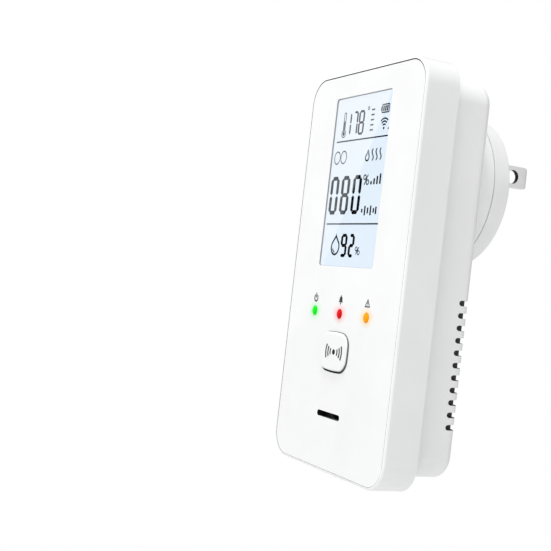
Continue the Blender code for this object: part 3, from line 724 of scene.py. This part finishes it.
def blades():
    look = metal("blade_metal", (0.93, 0.93, 0.925), 0.32, 0.55)
    # Painted shade: the wall of each blade's hole is coloured near black
    bore = metal("blade_bore_painted_shade", (0.03, 0.03, 0.03), 0.5)
    for name in ("line_blade", "neutral_blade"):
        low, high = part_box(name)
        middle = (low + high) / 2
        thick = high.x - low.x
        width = high.z - low.z
        sections = [  # y, thickness, width
            (low.y, 0.8 * thick, 0.55 * width),
            (BLADE_SHOULDER_Y, 0.8 * thick, 0.55 * width),
            (BLADE_SHOULDER_Y, thick, width),
            (high.y - 0.7 * BLADE_TAPER, thick, width),
            (high.y - 0.15 * BLADE_TAPER, 0.7 * thick, width - 0.4 * BLADE_TAPER),
            (high.y, 0.5 * thick, width - 0.85 * BLADE_TAPER),
        ]
        rings = [[(middle.x + px, y, middle.z + pz) for px, pz in rectangle(t, w, BLADE_CORNER, 4)]
                 for y, t, w in sections]
        blade = build(name + "_metal", [rings], look)
        hole = [[(middle.x + side * thick, BLADE_HOLE_Y + u, middle.z + v)
                 for u, v in circle(BLADE_HOLE_RADIUS, 48)] for side in (-1, 1)]
        combine(blade, "DIFFERENCE", [hole], bore)
        soften(blade, BLADE_EDGE, 2, 50)
        piece(blade, "case", name)


# ---------------------------------------------------------------- display

def plate(shape, outer, inner, y, thick):
    """Extrude a flat band, or a filled outline where inner is None, between y and y + thick."""
    def row(points, depth):
        return [shape.verts.new((px, depth, pz)) for px, pz in points]

    front = row(outer, y)
    back = row(outer, y + thick)
    if inner is None:
        shape.faces.new(front)
        shape.faces.new(back)
        loops = [(front, back)]
    else:
        front_in = row(inner, y)
        back_in = row(inner, y + thick)
        loops = [(front, back), (front_in, back_in)]
        skin(shape, front, front_in)
        skin(shape, back, back_in)
    for near, far in loops:
        skin(shape, near, far)


def bar(x1, z1, x2, z2, width, point=0.0):
    """A straight stroke; point is how far its ends are pointed, as a share of its width."""
    along = Vector((x2 - x1, z2 - z1)).normalized()
    side = Vector((-along.y, along.x)) * (width / 2)
    tip = along * (point * width)
    start = Vector((x1, z1))
    end = Vector((x2, z2))
    points = [start + side + tip, start, start - side + tip, end - side - tip, end, end + side - tip]
    if not point:
        points = [start + side, start - side, end - side, end + side]
    return [(p.x, p.y) for p in points], None


def ring(cx, cz, radius, width, start=0.0, end=360.0, steps=32, squeeze=1.0):
    """A circular stroke about (cx, cz); a part of a turn becomes one filled outline."""
    def along(r, first, last):
        return [(cx + squeeze * r * math.cos(math.radians(first + (last - first) * i / steps)),
                 cz + r * math.sin(math.radians(first + (last - first) * i / steps)))
                for i in range(steps + 1)]

    outer = along(radius + width / 2, start, end)
    inner = along(radius - width / 2, start, end)
    if end - start >= 360.0:
        return outer[:-1], inner[:-1]
    return outer + inner[::-1], None


def disc(cx, cz, radius, steps=24):
    return [(cx + px, cz + pz) for px, pz in circle(radius, steps)], None


def outline_band(points, width):
    """A closed stroke that follows an outline, to its inside."""
    count = len(points)
    inner = []
    for i in range(count):
        before = Vector(points[i - 1])
        here = Vector(points[i])
        after = Vector(points[(i + 1) % count])
        way = (after - before).normalized()
        inner.append(tuple(here + Vector((-way.y, way.x)) * width))
    return points, inner


def frame_band(cx, cz, width, height, radius, stroke):
    outer = [(cx + px, cz + pz) for px, pz in rectangle(width, height, radius, 5)]
    inner = [(cx + px, cz + pz) for px, pz in rectangle(width - 2 * stroke, height - 2 * stroke,
                                                        max(radius - stroke, 0.02), 5)]
    return outer, inner


def digit(number, cx, cz, width, height, stroke, gap):
    """Bars of one seven-segment figure: a to g, clockwise from the top, g in the middle.

    The upright bars are as wide as stroke, and the level ones a little thinner.
    """
    left = cx - width / 2
    right = cx + width / 2
    top = cz + height / 2
    low = cz - height / 2
    level = {
        "a": (left + gap, top, right - gap, top),
        "g": (left + gap, cz, right - gap, cz),
        "d": (left + gap, low, right - gap, low),
    }
    upright = {
        "b": (right, top - gap, right, cz + gap),
        "c": (right, cz - gap, right, low + gap),
        "e": (left, cz - gap, left, low + gap),
        "f": (left, top - gap, left, cz + gap),
    }
    return [bar(*level[s], 0.85 * stroke, 0.4) if s in level else bar(*upright[s], stroke, 0.4)
            for s in SEGMENTS[number]]


def artwork(name, strokes, y, look, body):
    """Flat strokes, drawn in millimetres from the middle of the case, as one thin raised piece."""
    shape = bmesh.new()
    for outer, inner in strokes:
        place = [[(px * MM, CASE_Z + pz * MM) for px, pz in points] if points else None
                 for points in (outer, inner)]
        plate(shape, place[0], place[1], y - INK_THICK, INK_THICK)
    bmesh.ops.recalc_face_normals(shape, faces=shape.faces)
    mesh = bpy.data.meshes.new(name)
    shape.to_mesh(mesh)
    shape.free()
    return piece(placed(name, mesh, look), body, None)


def percent(cx, cz, width, height, stroke):
    rx = 0.24 * width
    return [
        bar(cx - 0.32 * width, cz - height / 2, cx + 0.32 * width, cz + height / 2, stroke),
        ring(cx - 0.3 * width, cz + 0.25 * height, rx, stroke, steps=16),
        ring(cx + 0.3 * width, cz - 0.25 * height, rx, stroke, steps=16),
    ]


def thermometer(cx, top, low, stroke):
    bulb = 1.15
    tube = 0.62
    join = math.degrees(math.asin(tube / bulb))
    bulb_z = low + bulb
    points = [(cx + bulb * math.cos(math.radians(a)), bulb_z + bulb * math.sin(math.radians(a)))
              for a in [90 + join + i * (360 - 2 * join) / 24 for i in range(25)]]
    points += [(cx + tube * math.cos(math.radians(a)), top - tube + tube * math.sin(math.radians(a)))
               for a in range(0, 181, 20)]
    return [outline_band(points, stroke), disc(cx, bulb_z, 0.55), bar(cx, bulb_z, cx, top - 2.6, 0.4)]


def drop(cx, cz, radius, top, stroke):
    tangent = 32
    points = [(cx + radius * math.cos(math.radians(a)), cz + radius * math.sin(math.radians(a)))
              for a in [180 - tangent + i * (180 + 2 * tangent) / 28 for i in range(29)]]
    points.append((cx + 0.28, top - 0.7))
    points.append((cx, top))
    points.append((cx - 0.28, top - 0.7))
    return [outline_band(points, stroke), ring(cx, cz, radius - 1.0, 0.35, 200, 265, 8)]


def battery(cx, cz):
    strokes = [frame_band(cx, cz, 3.9, 2.5, 0.4, 0.34), bar(cx - 1.95, cz, cx - 2.3, cz, 1.1)]
    strokes += [bar(cx + x, cz - 0.75, cx + x, cz + 0.75, 0.62) for x in (-0.95, 0.0, 0.95)]
    return strokes


def wifi(cx, low):
    strokes = [ring(cx, low + 0.3, r, 0.42, 48, 132, 12) for r in (1.05, 1.85, 2.65)]
    return strokes + [disc(cx, low + 0.3, 0.36)]


def flame(cx, cz, height, stroke):
    """A pointed flame: round foot, one side fuller than the other."""
    r = 0.34 * height
    points = [(cx + r * math.cos(math.radians(a)), cz - 0.16 * height + r * math.sin(math.radians(a)))
              for a in range(160, 381, 20)]
    points += [(cx + 0.62 * r, cz + 0.2 * height), (cx + 0.1 * r, cz + 0.5 * height),
               (cx - 0.45 * r, cz + 0.12 * height)]
    return [outline_band(points, stroke)]


def wave(cx, cz, height, stroke):
    """A rising S, as one filled stroke."""
    steps = 14
    left = []
    right = []
    for i in range(steps + 1):
        t = i / steps
        x = cx + 0.42 * math.sin(2 * math.pi * t)
        z = cz - height / 2 + height * t
        left.append((x - stroke / 2, z))
        right.append((x + stroke / 2, z))
    return [(left + right[::-1], None)]


def display():
    front_y = FACE_Y + SCREEN_RECESS
    _, panel_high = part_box("lcd_panel")
    window = (WINDOW_HIGH.x - WINDOW_LOW.x, WINDOW_HIGH.z - WINDOW_LOW.z)
    screen = build("screen", [box_rings(*window, [(front_y, 0.0), (panel_high.y, 0.0)], WINDOW_CORNER,
                                        z=WINDOW_Z, steps=8)], screen_material())
    soften(screen, 0.08 * MM, 2)
    piece(screen, "case", "lcd_panel")

    ink = ink_material("display_ink", (0.002, 0.002, 0.003), (0.11, 0.12, 0.13))
    faint = ink_material("display_ink_faint", (0.01, 0.011, 0.012), (0.14, 0.15, 0.165))

    def draw(name, strokes, look=ink):
        artwork("display_" + name, strokes, front_y, look, "case")

    draw("rules", [bar(-13.1, RULE_TOP, 14.6, RULE_TOP, RULE_WIDTH),
                   bar(-13.6, RULE_LOW, 14.7, RULE_LOW, RULE_WIDTH)])
    draw("temperature", thermometer(-9.7, 44.4, 37.1, 0.3)
         + digit("1", -7.3, 40.8, 2.0, 6.0, 0.7, 0.08)
         + digit("7", -3.6, 40.8, 1.8, 6.2, 0.7, 0.08)
         + digit("8", -0.4, 40.75, 2.3, 6.2, 0.75, 0.08)
         + [ring(2.9, 44.4, 0.42, 0.25, steps=16)]
         + [bar(4.6, z, 6.2, z, 0.42) for z in (38.2, 39.6, 41.0, 42.4, 43.8)], faint)
    draw("battery", battery(11.7, 43.55))
    draw("wifi", wifi(11.75, 37.9) + [disc(14.1, 37.95, 0.3)])
    draw("molecule", [ring(x, 31.45, 1.75, 0.34, squeeze=0.9) for x in (-11.7, -8.1)], faint)
    gas = flame(4.9, 31.3, 3.4, 0.42)
    for x in (7.6, 9.6, 11.6):
        gas += wave(x, 31.35, 3.3, 0.5)
    draw("gas", gas)
    reading = []
    for number, x in (("0", -11.2), ("8", -5.1), ("0", 1.2)):
        reading += digit(number, x, 20.65, 3.3, 9.7, 1.35, 0.12)
    draw("reading", reading)
    draw("level", percent(5.7, 24.6, 2.6, 2.8, 0.36)
         + [bar(x, 23.2, x, 23.2 + h, 0.75) for x, h in ((8.4, 0.9), (9.9, 1.6), (11.4, 2.2), (12.9, 2.8))])
    draw("trend", [bar(x, 16.15 - h, x, 16.15 + h, 0.7) for x, h in
                   ((5.2, 0.5), (6.7, 1.3), (8.2, 0.8), (9.7, 1.3), (11.2, 0.6), (12.4, 1.0))])
    draw("humidity", drop(-7.2, 6.05, 2.4, 9.9, 0.55)
         + digit("9", -2.5, 6.55, 2.4, 5.6, 1.1, 0.0)
         + digit("2", 1.65, 6.55, 2.0, 5.6, 1.1, 0.0)
         + percent(5.2, 5.2, 2.2, 2.0, 0.28))

    low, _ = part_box("lcd_window")
    depth = [(low.y, 0.0), (front_y - 3 * INK_THICK, 0.0)]
    film = build("display_film", [box_rings(*window, depth, WINDOW_CORNER, z=WINDOW_Z, steps=8)],
                 film_material())
    soften(film, 0.03 * MM, 1)
    piece(film, "case", "lcd_window")


# ---------------------------------------------------------------- lamps, button, screws

def power_symbol(cx, cz):
    return [ring(cx, cz - 0.1, 0.95, 0.45, 125, 415, 28), bar(cx, cz - 0.1, cx, cz + 1.35, 0.45)]


def bell_symbol(cx, cz):
    points = [(cx - 1.15, cz - 0.55), (cx + 1.15, cz - 0.55), (cx + 0.75, cz - 0.1)]
    points += [(cx + 0.75 * math.cos(math.radians(a)), cz + 0.35 + 0.75 * math.sin(math.radians(a)))
               for a in range(0, 181, 20)]
    points += [(cx - 0.75, cz - 0.1)]
    return [(points, None), disc(cx, cz - 0.9, 0.28, 12), disc(cx, cz + 1.22, 0.2, 12)]


def warning_symbol(cx, cz):
    outer = [(cx - 1.35, cz - 1.0), (cx + 1.35, cz - 1.0), (cx, cz + 1.3)]
    inner = [(cx - 0.82, cz - 0.7), (cx + 0.82, cz - 0.7), (cx, cz + 0.7)]
    return [(outer, inner), bar(cx, cz - 0.2, cx, cz + 0.35, 0.26), disc(cx, cz - 0.48, 0.14, 10)]


def lamps():
    for name, centre in zip(LED_NAMES, LED_CENTRES):
        _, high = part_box("light_pipe_" + name)
        dome = [(FACE_Y - LAMP_PROUD * math.cos(math.radians(a)), LAMP_RADIUS * math.sin(math.radians(a)))
                for a in range(8, 91, 8)] + [(FACE_Y, LAMP_RADIUS)]
        rings = round_rings(dome + [(high.y, LAMP_RADIUS)], HOLE_SIDES, centre.x, centre.z)
        lamp = build("lamp_" + name, [rings], lamp_material(name))
        smooth(lamp)
        piece(lamp, "case", "light_pipe_" + name)

    ink = ink_material("label_ink", (0.06, 0.06, 0.065), (0.06, 0.06, 0.065))
    power_x, alarm_x, fault_x = [c.x / MM for c in LED_CENTRES]
    symbols = {
        "power": power_symbol(power_x, LABEL_Z),
        "alarm": bell_symbol(alarm_x, LABEL_Z),
        "fault": warning_symbol(fault_x, LABEL_Z),
    }
    for name, strokes in symbols.items():
        artwork("label_" + name, strokes, FACE_Y, ink, "case")


def button():
    look = button_material()
    centre_x = (BUTTON_LOW.x + BUTTON_HIGH.x) / 2
    centre_z = (BUTTON_LOW.z + BUTTON_HIGH.z) / 2
    front = BUTTON_LOW.y
    flange_y = FACE_Y + WALL + BUTTON_FLANGE_GAP
    profile = [(front + BUTTON_EDGE - BUTTON_EDGE * math.cos(a), BUTTON_EDGE - BUTTON_EDGE * math.sin(a))
               for a in QUARTER_TURN]
    profile += [(flange_y, 0.0), (flange_y, -BUTTON_LIP), (flange_y + BUTTON_FLANGE_THICK, -BUTTON_LIP)]
    rings = [button_outline(y, -inset, -inset, -inset) for y, inset in profile]
    cap = build("button_cap", [rings], look)
    stem = [(flange_y + BUTTON_FLANGE_THICK / 2, BUTTON_STEM_RADIUS), (BUTTON_HIGH.y, BUTTON_STEM_RADIUS)]
    combine(cap, "UNION", [round_rings(stem, 32, centre_x, centre_z)])
    smooth(cap)
    piece(cap, "button", "test_button")
    ink = ink_material("button_ink", (0.03, 0.03, 0.033), (0.03, 0.03, 0.033))
    z = (centre_z - CASE_Z) / MM
    waves = [disc(BUTTON_SYMBOL_X, z, 0.75, 20)]
    for radius in (1.9, 3.1, 4.3):
        waves += [ring(BUTTON_SYMBOL_X, z, radius, 0.55, middle - 26, middle + 26, 12)
                  for middle in (0, 180)]
    artwork("button_symbol", waves, front, ink, "button")


def carried_over():
    """Procedural finishes for the CAD nodes that keep their own shape."""
    plain = {
        "lcd_connector": ((0.05, 0.05, 0.055), 0.6),
        "lcd_backlight": ((0.80, 0.82, 0.84), 0.5),
        "lcd_frame": ((0.62, 0.63, 0.64), 0.5),
        "switch_body": ((0.02, 0.02, 0.022), 0.5),
        "switch_plunger": ((0.55, 0.55, 0.56), 0.5),
        "buzzer_housing": ((0.012, 0.012, 0.014), 0.5),
        "gas_sensor_base": ((0.45, 0.10, 0.03), 0.5),
        "humidity_sensor": ((0.70, 0.70, 0.69), 0.4),
        "microcontroller": ((0.015, 0.015, 0.017), 0.4),
        "board_link": ((0.01, 0.01, 0.01), 0.6),
        "transformer": ((0.65, 0.42, 0.03), 0.5),
        "film_capacitor": ((0.45, 0.03, 0.02), 0.35),
        "bridge_rectifier": ((0.01, 0.01, 0.01), 0.5),
        "bulk_capacitor": ((0.02, 0.03, 0.09), 0.3),
        "fuse": ((0.60, 0.66, 0.66), 0.1),
        "line_lead": ((0.01, 0.01, 0.01), 0.5),
        "neutral_lead": ((0.70, 0.70, 0.70), 0.5),
        "led_power": ((0.02, 0.50, 0.05), 0.2),
        "led_alarm": ((0.60, 0.02, 0.02), 0.2),
        "led_fault": ((0.80, 0.32, 0.01), 0.2),
    }
    metals = {
        "piezo_disc": ((0.78, 0.55, 0.20), 0.3),
        "co_sensor": ((0.62, 0.63, 0.64), 0.3),
        "gas_sensor_cap": ((0.58, 0.58, 0.56), 0.4),
        "wifi_module": ((0.66, 0.67, 0.68), 0.3),
        "backup_battery": ((0.45, 0.48, 0.52), 0.3),
    }
    looks = {name: moulded(name, colour, rough)[0] for name, (colour, rough) in plain.items()}
    looks.update({name: metal(name, colour, rough) for name, (colour, rough) in metals.items()})
    looks["main_pcb"] = board("main_pcb", (0.01, 0.12, 0.04), (0.05, 0.25, 0.08))
    looks["power_pcb"] = board("power_pcb", (0.16, 0.13, 0.03), (0.30, 0.22, 0.06))
    steel = metal("screw_steel", (0.60, 0.61, 0.62), 0.3)
    for name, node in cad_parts.items():
        look = looks.get(name)
        if "screw" in name:
            look = steel
        if look:
            node.data.materials.clear()
            node.data.materials.append(look)


# ---------------------------------------------------------------- stage

def stage():
    """Floor and surroundings: plain white to the camera, with their own light for everything else."""
    shape = bmesh.new()
    bmesh.ops.create_grid(shape, x_segments=1, y_segments=1, size=FLOOR_SIZE)
    mesh = bpy.data.meshes.new("floor")
    shape.to_mesh(mesh)
    shape.free()
    look, shader = principled("floor", (0.85, 0.85, 0.85), 0.8)
    shade = add(look, "ShaderNodeMixShader")
    white = add(look, "ShaderNodeEmission")
    seen = add(look, "ShaderNodeLightPath")
    link(look, seen.outputs["Is Camera Ray"], shade.inputs["Fac"])
    link(look, shader.outputs["BSDF"], shade.inputs[1])
    link(look, white.outputs["Emission"], shade.inputs[2])
    link(look, shade.outputs["Shader"], look.node_tree.nodes["Material Output"].inputs["Surface"])
    floor = placed("floor", mesh, look)
    floor.location = (0.0, 0.0, FRONT_LOW.z - FLOOR_BELOW)

    world = bpy.data.worlds.new("studio")
    bpy.context.scene.world = world
    world.use_nodes = True
    tree = world.node_tree
    backdrop = tree.nodes["Background"]
    backdrop.inputs["Color"].default_value = (1.0, 1.0, 1.0, 1.0)
    backdrop.inputs["Strength"].default_value = 1.0
    ambient = tree.nodes.new("ShaderNodeBackground")
    place = tree.nodes.new("ShaderNodeTexCoord")
    way = tree.nodes.new("ShaderNodeVectorMath")
    way.operation = "DOT_PRODUCT"
    way.inputs[1].default_value = AMBIENT_SLOPE
    level = tree.nodes.new("ShaderNodeMath")
    level.operation = "ADD"
    level.inputs[1].default_value = AMBIENT
    tree.links.new(place.outputs["Generated"], way.inputs[0])
    tree.links.new(way.outputs["Value"], level.inputs[0])
    tree.links.new(level.outputs["Value"], ambient.inputs["Strength"])
    seen = tree.nodes.new("ShaderNodeLightPath")
    mix = tree.nodes.new("ShaderNodeMixShader")
    tree.links.new(seen.outputs["Is Camera Ray"], mix.inputs["Fac"])
    tree.links.new(ambient.outputs["Background"], mix.inputs[1])
    tree.links.new(backdrop.outputs["Background"], mix.inputs[2])
    tree.links.new(mix.outputs["Shader"], tree.nodes["World Output"].inputs["Surface"])
    bpy.context.scene.view_settings.view_transform = "Standard"


def direction(azimuth, elevation):
    """Unit vector from the object towards a place around it, seen under these angles."""
    a = math.radians(azimuth)
    e = math.radians(elevation)
    return Vector((math.sin(a) * math.cos(e), -math.cos(a) * math.cos(e), math.sin(e)))


def key_light():
    lamp = bpy.data.lights.new("key", "AREA")
    lamp.size = KEY_SIZE
    lamp.energy = KEY_WATTS
    thing = bpy.data.objects.new("key", lamp)
    way = direction(KEY_AZIMUTH, KEY_HEIGHT)
    thing.location = Vector((0.0, FACE_Y, CASE_Z)) + way * KEY_DISTANCE
    thing.rotation_euler = way.to_track_quat("Z", "Y").to_euler()
    bpy.context.scene.collection.objects.link(thing)


def camera():
    lens = bpy.data.cameras.new("camera")
    lens.lens = CAMERA_LENS
    lens.sensor_width = SENSOR
    lens.clip_start = 0.01
    thing = bpy.data.objects.new("camera", lens)
    back = direction(CAMERA_AZIMUTH, CAMERA_ELEVATION)
    turn = back.to_track_quat("Z", "Y").to_matrix().to_4x4()
    roll = Matrix.Rotation(math.radians(CAMERA_ROLL), 4, "Z")
    thing.matrix_world = Matrix.Translation(CAMERA_AIM + back * CAMERA_DISTANCE) @ turn @ roll
    bpy.context.scene.collection.objects.link(thing)
    bpy.context.scene.camera = thing


camera()
stage()
key_light()
front_cover()
rear_cover()
plug_cap()
blades()
display()
lamps()
button()
carried_over()
